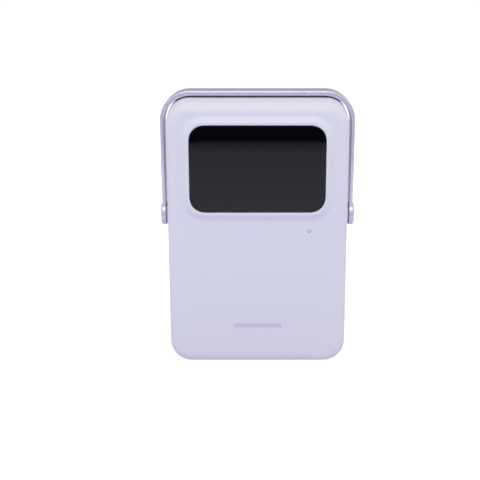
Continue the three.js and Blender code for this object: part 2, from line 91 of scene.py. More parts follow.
def smooth(value, low, high):
    # 3t^2 - 2t^3 of the share of the way from low to high
    share = np.clip((value - low) / (high - low), 0, 1)
    return share * share * (3 - 2 * share)


def outlineUnit(cornerSteps, sideSteps):
    # Where each point of a rounded rectangle stands on the inner rectangle of its corner
    # centres, and which way it looks: the corners turn, and the sides slide between them.
    turn = np.arange(4)[:, None]
    sweep = steps(cornerSteps)[None, :]
    slide = steps(sideSteps)[None, 1:-1]
    angle = np.concatenate([turn + sweep, turn + 1 + 0 * slide], axis=1) * quarterTurn
    share = np.concatenate([0 * (turn + sweep), 0 * turn + slide], axis=1)
    cornerA = np.array([1.0, -1, -1, 1])[:, None]
    cornerB = np.array([1.0, 1, -1, -1])[:, None]
    coreA = cornerA + (np.roll(cornerA, -1, axis=0) - cornerA) * share
    coreB = cornerB + (np.roll(cornerB, -1, axis=0) - cornerB) * share
    return coreA.ravel(), coreB.ravel(), np.cos(angle).ravel(), np.sin(angle).ravel()


def rings(rows, axis="y", cornerSteps=16, sideSteps=6):
    # One rounded outline for each row of half width, half height, corner radius, centre
    # height, depth and corner power. Each corner is r times the signed cosine and sine to
    # the power 2 / p, so that p = 2 is a circle and more is squarer.
    halfA, halfB, radius, centreB, depth, power = (c[:, None] for c in np.array(rows, float).T)
    coreA, coreB, cosine, sine = outlineUnit(cornerSteps, sideSteps)
    bulgeA = np.sign(cosine) * np.abs(np.round(cosine, 12)) ** (2 / power)
    bulgeB = np.sign(sine) * np.abs(np.round(sine, 12)) ** (2 / power)
    a = coreA * (halfA - radius) + bulgeA * radius
    b = centreB + coreB * (halfB - radius) + bulgeB * radius
    depth = depth + 0 * a
    return np.stack([a, depth, b] if axis == "y" else [depth, a, b], axis=-1)


sliver = 0.001  # what is left of the straight side of a round end, so that no edge vanishes


def outlineRows(halfA, halfB, radius, centreB, depth, power=2):
    # the rows that rings takes; what is the same in all of them is given once
    columns = np.broadcast_arrays(halfA, halfB, radius, centreB, depth, power)
    return np.stack(columns, axis=-1).astype(float)


def writeMesh(name, grid, loopRows=False, capEnds=False):
    # Quads between neighbouring points of the grid, whose columns always close. Its rows
    # close too, or end in a flat face each, or have shrunk to a point that is merged.
    rowCount, columnCount = grid.shape[:2]
    index = np.arange(rowCount * columnCount).reshape(rowCount, columnCount)
    here = index if loopRows else index[:-1]
    below = np.roll(index, -1, axis=0) if loopRows else index[1:]
    quads = np.stack([here, np.roll(here, -1, 1), np.roll(below, -1, 1), below], axis=-1)
    faces = quads.reshape(-1, 4).tolist()
    if capEnds:
        faces += [index[0][::-1].tolist(), index[-1].tolist()]
    mesh = bpy.data.meshes.new(name)
    mesh.from_pydata((grid.reshape(-1, 3) * metresPerMm).tolist(), [], faces)
    work = bmesh.new()
    work.from_mesh(mesh)
    bmesh.ops.remove_doubles(work, verts=work.verts, dist=1e-7)
    if work.calc_volume(signed=True) < 0:
        bmesh.ops.reverse_faces(work, faces=work.faces)
    work.to_mesh(mesh)
    work.free()
    made = bpy.data.objects.new(name, mesh)
    bpy.context.scene.collection.objects.link(made)
    return made


def shadeSmooth(piece, sharpDegrees=32):
    piece.data.shade_smooth()
    piece.data.set_sharp_from_angle(angle=math.radians(sharpDegrees))


def combine(piece, tools, operation="DIFFERENCE"):
    # cuts the tools out of a piece, or joins them to it, and removes them
    for tool in tools:
        modifier = piece.modifiers.new(operation.lower(), "BOOLEAN")
        modifier.operation = operation
        modifier.solver = "EXACT"
        modifier.object = tool
    bpy.context.view_layer.update()
    final = piece.evaluated_get(bpy.context.evaluated_depsgraph_get())
    mesh = bpy.data.meshes.new_from_object(final)
    piece.modifiers.clear()
    piece.data = mesh
    for tool in tools:
        bpy.data.objects.remove(tool)


def softened(corners, count=5):
    # A line through the corners, each given as along, out and how far back its rounding
    # starts; a corner is the quadratic curve between the points that far back on each side.
    spots = np.array(corners, float)
    line = []
    for place, (along, out, back) in enumerate(corners):
        corner = spots[place, :2]
        if back == 0:
            line.append(corner[None, :])
            continue
        before = spots[place - 1, :2] - corner
        after = spots[(place + 1) % len(corners), :2] - corner
        start = corner + before / np.linalg.norm(before) * back
        end = corner + after / np.linalg.norm(after) * back
        t = steps(count)[:, None]
        line.append((1 - t) ** 2 * start + 2 * t * (1 - t) * corner + t * t * end)
    return np.concatenate(line)


def turned(name, profile, centre, axis="x", side=1, loopRows=False, count=64):
    # a profile of places along an axis and radii, turned about the axis through the centre
    along, radius = np.array(profile, float).T[:, :, None]
    angle = steps(count)[None, :-1] * 4 * quarterTurn
    across = radius * np.cos(angle)
    upward = radius * np.sin(angle)
    along = along + 0 * across
    parts = [side * along, across, upward] if axis == "x" else [across, along, upward]
    grid = np.stack(parts, axis=-1) + np.array(centre, float)
    made = writeMesh(name, grid, loopRows)
    shadeSmooth(made)
    return made


class Wire:
    # one output of a node; sums and products of wires add Math nodes
    def __init__(self, tree, socket=None):
        self.tree = tree
        self.socket = socket

    def node(self, kind, settings=None, sockets=None, out=0):
        made = self.tree.nodes.new(kind)
        for name, value in (settings or {}).items():
            setattr(made, name, value)
        for name, value in (sockets or {}).items():
            if isinstance(value, Wire):
                self.tree.links.new(value.socket, made.inputs[name])
            else:
                made.inputs[name].default_value = value
        return None if out is None else Wire(self.tree, made.outputs[out])

    def maths(self, operation, *terms):
        return self.node("ShaderNodeMath", {"operation": operation}, dict(enumerate(terms)))

    def __add__(self, other):
        return self.maths("ADD", self, other)

    def __sub__(self, other):
        return self.maths("SUBTRACT", self, other)

    def __rsub__(self, other):
        return self.maths("SUBTRACT", other, self)

    def __mul__(self, other):
        return self.maths("MULTIPLY", self, other)

    def __abs__(self):
        return self.maths("ABSOLUTE", self)

    __radd__ = __add__
    __rmul__ = __mul__

    def root(self):
        return self.maths("SQRT", self)

    def sine(self):
        return self.maths("SINE", self)

    def less(self, limit):
        return self.maths("LESS_THAN", self, limit)

    def most(self, other):
        return self.maths("MAXIMUM", self, other)

    def ramp(self, start, end, low=0.0, high=1.0):
        # eases from low to high as the value goes from start to end
        ends = {"Value": self, "From Min": start, "From Max": end, "To Min": low, "To Max": high}
        return self.node("ShaderNodeMapRange", {"interpolation_type": "SMOOTHSTEP"}, ends)

    def blend(self, first, second):
        # colour that goes from the first to the second as this value goes from 0 to 1
        sides = {0: self, 6: first, 7: second}
        return self.node("ShaderNodeMix", {"data_type": "RGBA"}, sides, out=2)

    def axis(self, letter):
        return self.node("ShaderNodeSeparateXYZ", {}, {0: self}, out=letter)

    def stretched(self, scale):
        return self.node("ShaderNodeMapping", {}, {"Vector": self, "Scale": scale})

    def noise(self, scale, detail=2.0):
        spread = {"Vector": self, "Scale": scale, "Detail": detail}
        return self.node("ShaderNodeTexNoise", {}, spread)

    def cells(self, scale, settings=None):
        # distance to the nearest of the scattered cell centres
        spread = {"Vector": self, "Scale": scale}
        return self.node("ShaderNodeTexVoronoi", settings, spread, out="Distance")

    def bumped(self, distance, strength=1.0):
        lift = {"Height": self, "Distance": distance, "Strength": strength}
        return self.node("ShaderNodeBump", {}, lift, out="Normal")


def colour(tone, lighter=1.0):
    return tuple(min(1.0, part * lighter) for part in tone) + (1.0,)


def newFinish(name, build, fixed):
    # build(place) returns the varying sockets; fixed ones are set on the shader itself
    material = bpy.data.materials.new(name)
    material.use_nodes = True
    tree = material.node_tree
    shader = tree.nodes["Principled BSDF"]
    place = Wire(tree).node("ShaderNodeTexCoord", out="Object")
    for socket, value in fixed.items():
        shader.inputs[socket].default_value = value
    for socket, value in build(place).items():
        tree.links.new(value.socket, shader.inputs[socket])
    return material


def mouldedPlastic(name, look, fixed=None):
    # colour: the tone, lighter and darker by the mottle as slow noise goes up and down;
    # roughness: the base, plus some of both noises; bump: the fine grain
    def build(place):
        slow = place.noise(look["mottleScale"], 3.0)
        grain = place.noise(look["grainScale"], 2.0)
        dark = colour(look["tone"], 1 - look["mottle"])
        light = colour(look["tone"], 1 + look["mottle"])
        return {
            "Base Color": slow.blend(dark, light),
            "Roughness": look["roughness"] + (slow - 0.5) * 0.12 + (grain - 0.5) * 0.1,
            "Normal": grain.bumped(look["grainDepth"] * metresPerMm),
        }

    return newFinish(name, build, fixed or {})


softTouch = {
    "tone": (0.64, 0.64, 0.725),
    "mottle": 0.012,
    "mottleScale": 55,
    "grainScale": 5200,
    "grainDepth": 0.012,
    "roughness": 0.5,
    "markTone": (0.545, 0.50, 0.66),
    "markHeight": 15.3,  # of the plain bar printed low on the front
    "markHalfLength": 9.4,
    "markHalfHeight": 0.85,
}


def softTouchFinish(look):
    # the moulded paint, and one plain rounded bar: its mask falls to 0 where the distance
    # to the bar's middle line is over its half height
    def build(place):
        slow = place.noise(look["mottleScale"], 3.0)
        grain = place.noise(look["grainScale"], 2.0)
        dark = colour(look["tone"], 1 - look["mottle"])
        light = colour(look["tone"], 1 + look["mottle"])
        tone = slow.blend(dark, light)
        halfHeight = look["markHalfHeight"] * metresPerMm
        reach = look["markHalfLength"] * metresPerMm - halfHeight
        beyond = (abs(place.axis("X")) - reach).most(0.0)
        above = place.axis("Z") - look["markHeight"] * metresPerMm
        distance = (beyond * beyond + above * above).root()
        onFront = place.axis("Y").less((body["frontY"] + 0.1) * metresPerMm)
        mark = distance.ramp(halfHeight * 1.04, halfHeight * 0.96) * onFront
        return {
            "Base Color": mark.blend(tone, colour(look["markTone"])),
            "Roughness": (
                look["roughness"] + (slow - 0.5) * 0.12 + (grain - 0.5) * 0.1 - mark * 0.12
            ),
            "Normal": grain.bumped(look["grainDepth"] * metresPerMm),
        }

    return newFinish("soft touch shell", build, {"Specular IOR Level": 0.25})


satinHandle = {"tone": (0.61, 0.56, 0.71), "roughness": 0.28, "streakDepth": 0.0012}


def satinHandleFinish(look):
    # fine streaks along the strap: noise pulled long in x and z, thin in y, sways the
    # roughness and the bump, and a slow cloud sways the colour
    def build(place):
        streak = place.stretched((60.0, 2600.0, 60.0)).noise(1.0, 3.0)
        cloud = place.noise(40.0, 2.0)
        return {
            "Base Color": cloud.blend(colour(look["tone"], 0.975), colour(look["tone"], 1.025)),
            "Roughness": look["roughness"] + (streak - 0.5) * 0.06 + (cloud - 0.5) * 0.02,
            "Normal": streak.bumped(look["streakDepth"] * metresPerMm),
        }

    fixed = {"Metallic": 0.35, "Coat Weight": 0.15, "Coat Roughness": 0.3}
    return newFinish("satin handle", build, fixed)


def smokedFinish(look):
    # near black and mirror smooth: slow noise sways the roughness and, slower still, the
    # bump, and where fine noise peaks there are faint specks, paler and rougher
    def build(place):
        haze = place.noise(70.0, 3.0)
        dust = place.noise(4200.0, 2.0).ramp(0.74, 0.8)
        return {
            "Base Color": (dust * 0.4).blend(colour(look["tone"]), colour(look["tone"], 3.0)),
            "Roughness": look["roughness"] + (haze - 0.5) * 0.016 + dust * 0.1,
            "Normal": place.noise(25.0, 1.0).bumped(0.001 * metresPerMm),
        }

    return newFinish("smoked window", build, {"IOR": look["ior"]})


smokedWindow = {"tone": (0.0014, 0.0019, 0.0034), "roughness": 0.014, "ior": 1.42}
darkLavender = {
    "tone": (0.47, 0.43, 0.555),
    "mottle": 0.015,
    "mottleScale": 90,
    "grainScale": 4200,
    "grainDepth": 0.01,
    "roughness": 0.42,
}
milkyPlastic = {
    "tone": (0.56, 0.53, 0.66),
    "mottle": 0.02,
    "mottleScale": 300,
    "grainScale": 6000,
    "grainDepth": 0.002,
    "roughness": 0.22,
}
blackPlastic = {
    "tone": (0.02, 0.02, 0.022),
    "mottle": 0.1,
    "mottleScale": 120,
    "grainScale": 4500,
    "grainDepth": 0.01,
    "roughness": 0.5,
}


def foamFinish(name, tone):
    # open pores: distance to the nearest cell centre darkens, roughens and dents
    def build(place):
        cells = place.cells(2600.0)
        return {
            "Base Color": cells.blend(colour(tone, 1.3), colour(tone, 0.6)),
            "Roughness": 0.85 + cells * 0.1,
            "Normal": cells.bumped(0.06 * metresPerMm),
        }

    return newFinish(name, build, {})


def platedFinish(name, tone, roughness, stretch):
    # rolled sheet metal: noise pulled long one way sways roughness and bump, and a slow
    # cloud sways the colour
    def build(place):
        rolled = place.stretched(stretch).noise(1.0, 3.0)
        cloud = place.noise(120.0, 2.0)
        return {
            "Base Color": cloud.blend(colour(tone, 0.94), colour(tone, 1.05)),
            "Roughness": roughness + (rolled - 0.5) * 0.18,
            "Normal": rolled.bumped(0.003 * metresPerMm),
        }

    return newFinish(name, build, {"Metallic": 1.0})


def boardFinish():
    # solder mask over copper: the far parts of blocky cells make tracks, which are lighter
    # and stand a little proud; the middles of larger round cells are pads of bare metal
    def build(place):
        grid = place.stretched((900.0, 900.0, 900.0))
        cells = grid.cells(1.0, {"distance": "MANHATTAN", "feature": "F1"})
        tracks = cells.ramp(0.42, 0.5)
        pads = place.cells(420.0).ramp(0.16, 0.13)
        mask = tracks.blend((0.012, 0.085, 0.045, 1), (0.02, 0.15, 0.075, 1))
        return {
            "Base Color": pads.blend(mask, (0.6, 0.58, 0.5, 1)),
            "Metallic": pads * 0.9,
            "Roughness": 0.42 - pads * 0.12 + (cells - 0.5) * 0.1,
            "Normal": (tracks + pads).bumped(0.02 * metresPerMm),
        }

    return newFinish("circuit board", build, {})


def foilFinish():
    # aluminium pouch: creased noise on two scales dents it and sways the roughness, and the larger
    # noise also colours it, with painted shade in the dents and a painted highlight on the crests
    def build(place):
        crease = place.noise(160.0, 4.0)
        fine = place.noise(1500.0, 2.0)
        return {
            # painted shade in the dents of the creases, painted highlight on their crests
            "Base Color": crease.blend((0.36, 0.37, 0.4, 1), (0.5, 0.51, 0.54, 1)),
            "Roughness": 0.34 + (crease - 0.5) * 0.25 + (fine - 0.5) * 0.1,
            "Normal": (crease + fine * 0.15).bumped(0.12 * metresPerMm),
        }

    return newFinish("cell foil", build, {"Metallic": 0.9})


def flexFinish():
    # amber film with copper lines: a sine across the ribbon's height makes the stripes
    def build(place):
        stripe = (place.axis("Z") * (4 * quarterTurn / (0.5 * metresPerMm))).sine()
        lines = stripe.ramp(0.0, 0.35)
        grain = place.noise(3000.0, 2.0)
        return {
            "Base Color": lines.blend((0.42, 0.17, 0.035, 1), (0.62, 0.33, 0.09, 1)),
            "Roughness": 0.3 + lines * 0.12 + (grain - 0.5) * 0.08,
            "Normal": (lines + grain * 0.2).bumped(0.02 * metresPerMm),
        }

    return newFinish("flex film", build, {})


stripReach = 7  # how far in from the side of the body the gold strips go


def tongueFinish(name, centre, pitch, count):
    # black moulding with gold strips: a strip shows where the height over the middle,
    # folded on the pitch, is under 0.28 of it, as far as the last strip and near the mouth
    def build(place):
        height = place.axis("Z") - centre * metresPerMm
        halfPitch = pitch / 2 * metresPerMm
        folded = abs(height.maths("WRAP", height, halfPitch, -halfPitch))
        within = abs(height).less(pitch * count / 2 * metresPerMm)
        start = frontHigh[0] - stripReach
        front = place.axis("X").ramp(start * metresPerMm, (start + 0.1) * metresPerMm)
        strip = folded.less(pitch * 0.28 * metresPerMm) * within * front
        grain = place.noise(5000.0, 2.0)
        return {
            "Base Color": strip.blend((0.018, 0.018, 0.02, 1), (0.83, 0.6, 0.28, 1)),
            "Metallic": strip,
            "Roughness": 0.5 - strip * 0.26 + (grain - 0.5) * 0.08,
            "Normal": (strip + grain * 0.1).bumped(0.03 * metresPerMm),
        }

    return newFinish(name, build, {})


def rubberFinish(name, tone):
    # wire insulation: fine noise sways colour, roughness and bump
    def build(place):
        grain = place.noise(2400.0, 2.0)
        return {
            "Base Color": grain.blend(colour(tone, 0.9), colour(tone, 1.1)),
            "Roughness": 0.45 + (grain - 0.5) * 0.15,
            "Normal": grain.bumped(0.01 * metresPerMm),
        }

    return newFinish(name, build, {})


glossCoat = {"Coat Weight": 0.2, "Coat Roughness": 0.25}
glowsThrough = {"Subsurface Weight": 0.2, "Subsurface Radius": (0.001, 0.001, 0.001)}
finishes = {
    "shell": softTouchFinish(softTouch),
    "handle": satinHandleFinish(satinHandle),
    "bush": mouldedPlastic("bush nylon", darkLavender),
    "button": mouldedPlastic("button plastic", darkLavender, glossCoat),
    "window": smokedFinish(smokedWindow),
    "clear": mouldedPlastic("light guide", milkyPlastic, glowsThrough),
    "black": mouldedPlastic("black plastic", blackPlastic),
    "foam": foamFinish("black foam", (0.025, 0.025, 0.025)),
    "steel": platedFinish("pressed steel", (0.55, 0.56, 0.58), 0.32, (2200.0, 90.0, 90.0)),
    "nickel": platedFinish("nickel plate", (0.62, 0.6, 0.55), 0.26, (70.0, 1800.0, 1800.0)),
    "board": boardFinish(),
    "foil": foilFinish(),
    "flex": flexFinish(),
    "redWire": rubberFinish("red insulation", (0.45, 0.03, 0.03)),
    "blackWire": rubberFinish("black insulation", (0.02, 0.02, 0.02)),
}
print("finishes made,", len(finishes))


def addPiece(piece, finish, slotName, bodyName, *replaced):
    # gives a new piece its finish and its body, and hides the imported nodes that it stands for
    piece.data.materials.clear()
    piece.data.materials.append(finish)
    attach(piece, bodyName)
    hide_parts(*replaced)
    print("piece", piece.name, len(piece.data.polygons), "faces")
    return piece


def crowned(grid):
    # Each height becomes the pivot's plus the root of rise squared less share times y
    # squared, so that the top is a part of a cylinder about the pivot line.
    rise = grid[..., 2] - pivotHeight
    share = smooth(rise, body["crownNone"], body["crownFull"])
    lifted = pivotHeight + np.sqrt(np.maximum(rise ** 2 - grid[..., 1] ** 2 * share, 0))
    made = grid.copy()
    made[..., 2] = np.where(share > 0, lifted, grid[..., 2])
    return made


def bodyRings(insets, depths):
    inset = np.array(insets, float)
    half = body["height"] / 2
    halfWidth, radius = body["halfWidth"] - inset, body["cornerRadius"] - inset
    return crowned(rings(outlineRows(halfWidth, half - inset, radius, half, depths)))


def filletRows(radius, count=9):
    # inset and depth back from a face over a quarter circle that starts on the face
    turn = steps(count) * quarterTurn
    return radius * (1 - np.sin(turn)), radius * (1 - np.cos(turn))


surround = {
    "windowGap": 0.25,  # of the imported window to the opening
    "radius": 6.4,
    "power": 2.3,
    "proud": 1.2,
    "lipRound": 0.35,
    "lip": 0.9,
    "slope": 2.9,
    "steepEarly": 0.8,  # under 1 puts the steep part of the slope near the lip
    "ledgeBorder": 2.15,
    "ledgeRadius": 2.25,
    "ledgeY": windowHigh[1] + 0.5,
}
openHalfWidth = windowHigh[0] + surround["windowGap"]
openHalfHeight = (windowHigh[2] - windowLow[2]) / 2 + surround["windowGap"]
openZ = (windowHigh[2] + windowLow[2]) / 2


def displayRings(grows, depths):
    grow = np.array(grows, float)
    halfWidth, halfHeight = openHalfWidth + grow, openHalfHeight + grow
    radius = surround["radius"] + grow
    return rings(outlineRows(halfWidth, halfHeight, radius, openZ, depths, surround["power"]))


def ledgeRings(depths):
    halfWidth = openHalfWidth - surround["ledgeBorder"]
    halfHeight = openHalfHeight - surround["ledgeBorder"]
    return rings(outlineRows(halfWidth, halfHeight, surround["ledgeRadius"], openZ, depths))


def roundedMouth(outlineRow, depths, mouth, axis="x", side=1):
    # A cutter whose outline grows by m(1 - cos) as it comes out through m sin at the
    # surface, which rounds the mouth of the hole that it leaves.
    inner, surface = depths
    turn = steps(5, 0, 0.85) * quarterTurn
    grow = np.concatenate([[0], mouth * (1 - np.cos(turn)), [mouth * (1 - math.cos(turn[-1]))]])
    depth = np.concatenate([[inner], surface - mouth + mouth * np.sin(turn), [surface + 1]])
    halfA, halfB, radius, centreB = outlineRow
    rows = outlineRows(halfA + grow, halfB + grow, radius + grow, centreB, depth)
    grid = rings(rows, axis, cornerSteps=10, sideSteps=2)
    grid[..., 0] *= side
    return writeMesh("cutter", grid, capEnds=True)


def pillRow(node, grow):
    # half sizes, end radius and middle height of a round-ended outline about a node
    low, high = nodeBox(node)
    halfY = (high[1] - low[1]) / 2 + grow
    halfZ = (high[2] - low[2]) / 2 + grow
    return [halfY, halfZ, halfY - sliver, (high[2] + low[2]) / 2]


holes = {
    "pivotRadius": 2.4,
    "pivotMouth": 0.15,
    "buttonHalfWidth": 1.9,
    "buttonHalfLength": 4.7,
    "buttonGap": 0.22,
    "buttonMouth": 0.25,
    "socketGap": 0.25,
    "socketMouth": 0.4,
    "socketCornerRadius": 0.75,
    "lightRadius": 0.72,
    "lightMouth": 0.12,
    "cutterReach": 1.5,  # past the wall's inner face
}
buttonLow, buttonHigh = nodeBox("power_button")
buttonZ = (buttonLow[2] + buttonHigh[2]) / 2
lightLow, lightHigh = nodeBox("status_light_pipe")
lightX = (lightLow[0] + lightHigh[0]) / 2
lightZ = (lightLow[2] + lightHigh[2]) / 2


def shellCutters():
    side = body["halfWidth"]
    inside = side - body["wall"] - holes["cutterReach"]
    pivotHole = holes["pivotRadius"]
    pivotRow = [pivotHole, pivotHole, pivotHole - sliver, pivotHeight]
    halfWidth = holes["buttonHalfWidth"] + holes["buttonGap"]
    halfLength = holes["buttonHalfLength"] + holes["buttonGap"]
    buttonRow = [halfWidth, halfLength, halfWidth - sliver, buttonZ]
    usbCRow = pillRow("usb_c_shell", holes["socketGap"])
    usbARow = pillRow("usb_a_shell", holes["socketGap"])
    usbARow[2] = holes["socketCornerRadius"]
    cutters = [
        roundedMouth(pivotRow, (inside, side), holes["pivotMouth"]),
        roundedMouth(pivotRow, (inside, side), holes["pivotMouth"], side=-1),
        roundedMouth(buttonRow, (inside, side), holes["buttonMouth"]),
        roundedMouth(usbCRow, (inside, side), holes["socketMouth"]),
        roundedMouth(usbARow, (inside, side), holes["socketMouth"]),
    ]
    lightRadius, mouth = holes["lightRadius"], holes["lightMouth"]
    front, back = body["frontY"], body["frontY"] + body["wall"] + 1
    profile = [
        [front - 1, 0],
        [front - 1, lightRadius + mouth],
        [front, lightRadius + mouth],
        [front + mouth, lightRadius],
        [back, lightRadius],
        [back, 0],
    ]
    cutters.append(turned("cutter", profile, (lightX, 0, lightZ), axis="y", count=24))
    return cutters


def frontShell():
    front, parting, edge = body["frontY"], body["partingY"], body["edgeRadius"]
    lipTop = front - surround["proud"]
    lipRound, rimRound = surround["lipRound"], body["rimRound"]
    turn = steps(5) * quarterTurn
    lip = displayRings(lipRound * (1 - np.cos(turn)), lipTop + lipRound * (1 - np.sin(turn)))
    share = steps(14)
    ease = smooth(share ** surround["steepEarly"], 0, 1)
    down = lipTop + surround["proud"] * ease
    slope = displayRings(surround["lip"] + surround["slope"] * share, down)
    flatStart = slope[-1]
    insets, backs = filletRows(edge)
    fillet = bodyRings(insets, front + backs)
    flat = flatStart + (fillet[0] - flatStart) * np.array([0.15, 0.5, 0.85, 0.97])[:, None, None]
    wallDepths = steps(12, front + edge, parting - rimRound)[1:]
    rim = bodyRings(rimRound * (1 - np.cos(turn)), parting - rimRound * (1 - np.sin(turn)))
    insideFront = front + body["wall"]
    insideDepths = [parting, parting - 0.5, *body["insideRows"], insideFront + 0.4, insideFront]
    inside = bodyRings(body["wall"] + 0 * np.array(insideDepths), insideDepths)
    ledge = surround["ledgeY"]
    back = ledgeRings([insideFront, ledge])
    insideFlat = inside[-1] + (back[0] - inside[-1]) * np.array([0.3, 0.7])[:, None, None]
    grid = np.concatenate([
        displayRings([-0.3, 0, 0], [ledge, ledge, lipTop + lipRound + 0.15]),
        lip,
        displayRings([surround["lip"] * 0.7], [lipTop]),
        slope,
        flat,
        fillet,
        bodyRings(0 * wallDepths, wallDepths),
        rim[1:],
        inside,
        insideFlat,
        back,
    ])
    shell = writeMesh("front_shell_moulding", grid, loopRows=True)
    combine(shell, shellCutters())
    shadeSmooth(shell)
    return shell


boss = {"boreRadius": 0.75, "radius": 1.9, "footRadius": 2.2, "footHeight": 1, "boardGap": 0.1}


def boardBosses():
    # two hollow posts that stand on the inside of the front and hold the board
    made = []
    boardLow = nodeBox("main_board")[0]
    bore, radius = boss["boreRadius"], boss["radius"]
    for screw in ("lower_board_screw", "upper_board_screw"):
        low, high = nodeBox(screw)
        x, z = (low[0] + high[0]) / 2, (low[2] + high[2]) / 2
        base, top = body["frontY"] + body["wall"] - 0.05, boardLow[1] - boss["boardGap"]
        profile = softened([
            (base, bore, 0),
            (base, boss["footRadius"], 0),
            (base + boss["footHeight"], radius, 0.4),
            (top, radius, 0.25),
            (top, bore, 0.15),
        ], 3)
        name = screw.replace("screw", "boss")
        made.append(turned(name, profile, (x, 0, z), "y", loopRows=True, count=32))
    return made


tuckedLip = {"outer": 2, "inner": 3, "round": 0.2}


def rearCover():
    back, edge, wall = body["backY"], body["edgeRadius"], body["wall"]
    start, rimRound = body["partingY"] + body["seam"], body["rimRound"]
    insets, backs = filletRows(edge)
    turn = steps(5) * quarterTurn
    lipFront, outer, inner = rearLow[1], tuckedLip["outer"], tuckedLip["inner"]
    lipBack = lipFront + tuckedLip["round"]
    wallDepths = steps(4, back - edge, start + rimRound)[1:-1]
    insideBack = back - wall
    grid = np.concatenate([
        bodyRings([body["capInset"], 4.0, 3.15], back),
        bodyRings(insets, back - backs),
        bodyRings(0 * wallDepths, wallDepths),
        bodyRings(rimRound * (1 - np.cos(turn)), start + rimRound * (1 - np.sin(turn))),
        bodyRings(
            [outer, outer, outer + tuckedLip["round"], inner - tuckedLip["round"], inner, inner],
            [start, lipBack, lipFront, lipFront, lipBack, start + 1],
        ),
        bodyRings(
            [wall, wall, 3.0, body["capInset"]],
            [start + 1, insideBack - 0.1, insideBack, insideBack],
        ),
    ])
    cover = writeMesh("rear_cover_moulding", grid, capEnds=True)
    shadeSmooth(cover)
    return cover


addPiece(frontShell(), finishes["shell"], "soft_touch_shell", "body", "front_shell")
for post in boardBosses():
    addPiece(post, finishes["shell"], "soft_touch_shell", "body")
addPiece(rearCover(), finishes["shell"], "soft_touch_shell", "body", "rear_cover")


window = {"gap": 0.13, "edgeRound": 0.12, "capInset": 3}


def displayWindow():
    front, back, edge = windowLow[1], windowHigh[1], window["edgeRound"]
    turn, cap = steps(4) * quarterTurn, -window["capInset"]
    grow = np.concatenate([[cap, 0, 0], -edge * (1 - np.cos(turn)), [cap]]) - window["gap"]
    depth = np.concatenate([[back, back, front + 0.5], front + edge * (1 - np.sin(turn)), [front]])
    pane = writeMesh("smoked_window", displayRings(grow, depth), capEnds=True)
    shadeSmooth(pane)
    return pane


lens = {"radius": 0.65, "crown": 0.02}


def lightPipe():
    front, back, radius = lightLow[1], lightHigh[1], lens["radius"]
    profile = softened([
        (front, 0, 0),
        (front + lens["crown"], radius, 0.15),
        (back, radius, 0.1),
        (back, 0, 0),
    ], 4)
    return turned("status_light_lens", profile, (lightX, 0, lightZ), axis="y", count=32)


addPiece(displayWindow(), finishes["window"], "smoked_window", "body", "display_window")
addPiece(lightPipe(), finishes["clear"], "clear_plastic", "body", "status_light_pipe")


handle = {
    "innerX": frontHigh[0] + 1.25,
    "arm": 1.45,
    "bar": 1.8,
    "topZ": handleHigh[2],
    "innerRadius": 10.4,
    "outerRadius": 11,
    "halfDepth": 5.0,
    "neckHalfDepth": 3.2,
    "taper": (61.0, 79.0),  # heights over which the arms narrow to the ears
    "earRadius": 4.5,
    "ear": 2.05,
    "rimHeight": 0.7,
    "rimWidth": 0.9,
    "edgeRound": 0.65,
    "innerRound": 0.3,
    "earSlope": 4,  # how steeply the ear's height falls away outside its rim
    "blend": 0.22,  # softness of the corner between strap and ear
    "strapEnd": (0.0, 2.7),  # heights over the axis where the strap rises out of the ear
    "strapSink": 2.0,  # how deep it lies in the ear below that
    "neckRows": 3,  # height over which the rows of faces stay close above the neck
    "boreRadius": 1.65,
    "boreEnd": 36.45,
}


def handleStations():
    # For each place along the right half, from the ear's lowest point to the bar's middle:
    # inner point, outward direction, thickness of the strap, half depth, how far the
    # section stands below the ear's axis, and how much its width shrinks there.
    ear, axis, neck = handle["earRadius"], pivotHeight, handle["neckHalfDepth"]
    outerTop = handle["topZ"] - handle["outerRadius"]
    innerTop = handle["topZ"] - handle["bar"] - handle["innerRadius"]
    centreX = handle["innerX"] - handle["innerRadius"]
    turn = steps(30, quarterTurn, -math.acos(neck / ear))
    neckZ = axis - ear * math.sin(turn[-1])
    close = neckZ + handle["neckRows"]
    arm = np.concatenate([steps(14, neckZ, close)[1:], steps(20, close, innerTop)[1:]])
    corner = steps(20)[1:] * quarterTurn
    bar = steps(6)[1:]
    none = np.zeros(len(arm) + len(corner) + len(bar))
    dropped = np.concatenate([np.sin(turn) * ear, none])
    shrink = np.concatenate([np.cos(turn), none + 1])
    innerX = np.concatenate([
        handle["innerX"] + 0 * turn, handle["innerX"] + 0 * arm,
        centreX + handle["innerRadius"] * np.cos(corner), centreX * (1 - bar),
    ])
    innerZ = np.concatenate([
        axis - np.sin(turn) * ear, arm,
        innerTop + handle["innerRadius"] * np.sin(corner),
        innerTop + handle["innerRadius"] + 0 * bar,
    ])
    # Over the corner the outer arc has its own centre: the strap is as thick as the way from
    # the inner arc, square to it, to the outer arc or the straight side or top beyond it.
    start = len(turn) + len(arm)
    end = start + len(corner)
    outer, cosine, sine = handle["outerRadius"], np.cos(corner), np.sin(corner)
    fromX = innerX[start:end] - (handle["innerX"] + handle["arm"] - outer)
    fromZ = innerZ[start:end] - outerTop
    along = fromX * cosine + fromZ * sine
    arc = np.sqrt(along ** 2 - fromX ** 2 - fromZ ** 2 + outer ** 2) - along
    straight = np.minimum((outer - fromX) / np.maximum(cosine, 1e-6), (outer - fromZ) / sine)
    onArc = (fromX + arc * cosine >= 0) & (fromZ + arc * sine >= 0)
    span = np.where(onArc, arc, straight)
    lower, upper = np.zeros(start), np.ones(len(bar))
    outX = np.concatenate([lower + 1, cosine, 0 * upper])
    outZ = np.concatenate([lower, sine, upper])
    thick = np.concatenate([lower + handle["arm"], span, handle["bar"] * upper])
    wide = neck + (handle["halfDepth"] - neck) * smooth(innerZ, *handle["taper"])
    half = np.where(np.arange(len(innerZ)) < len(turn), ear, wide)
    return innerX, innerZ, outX, outZ, thick, half, dropped, shrink


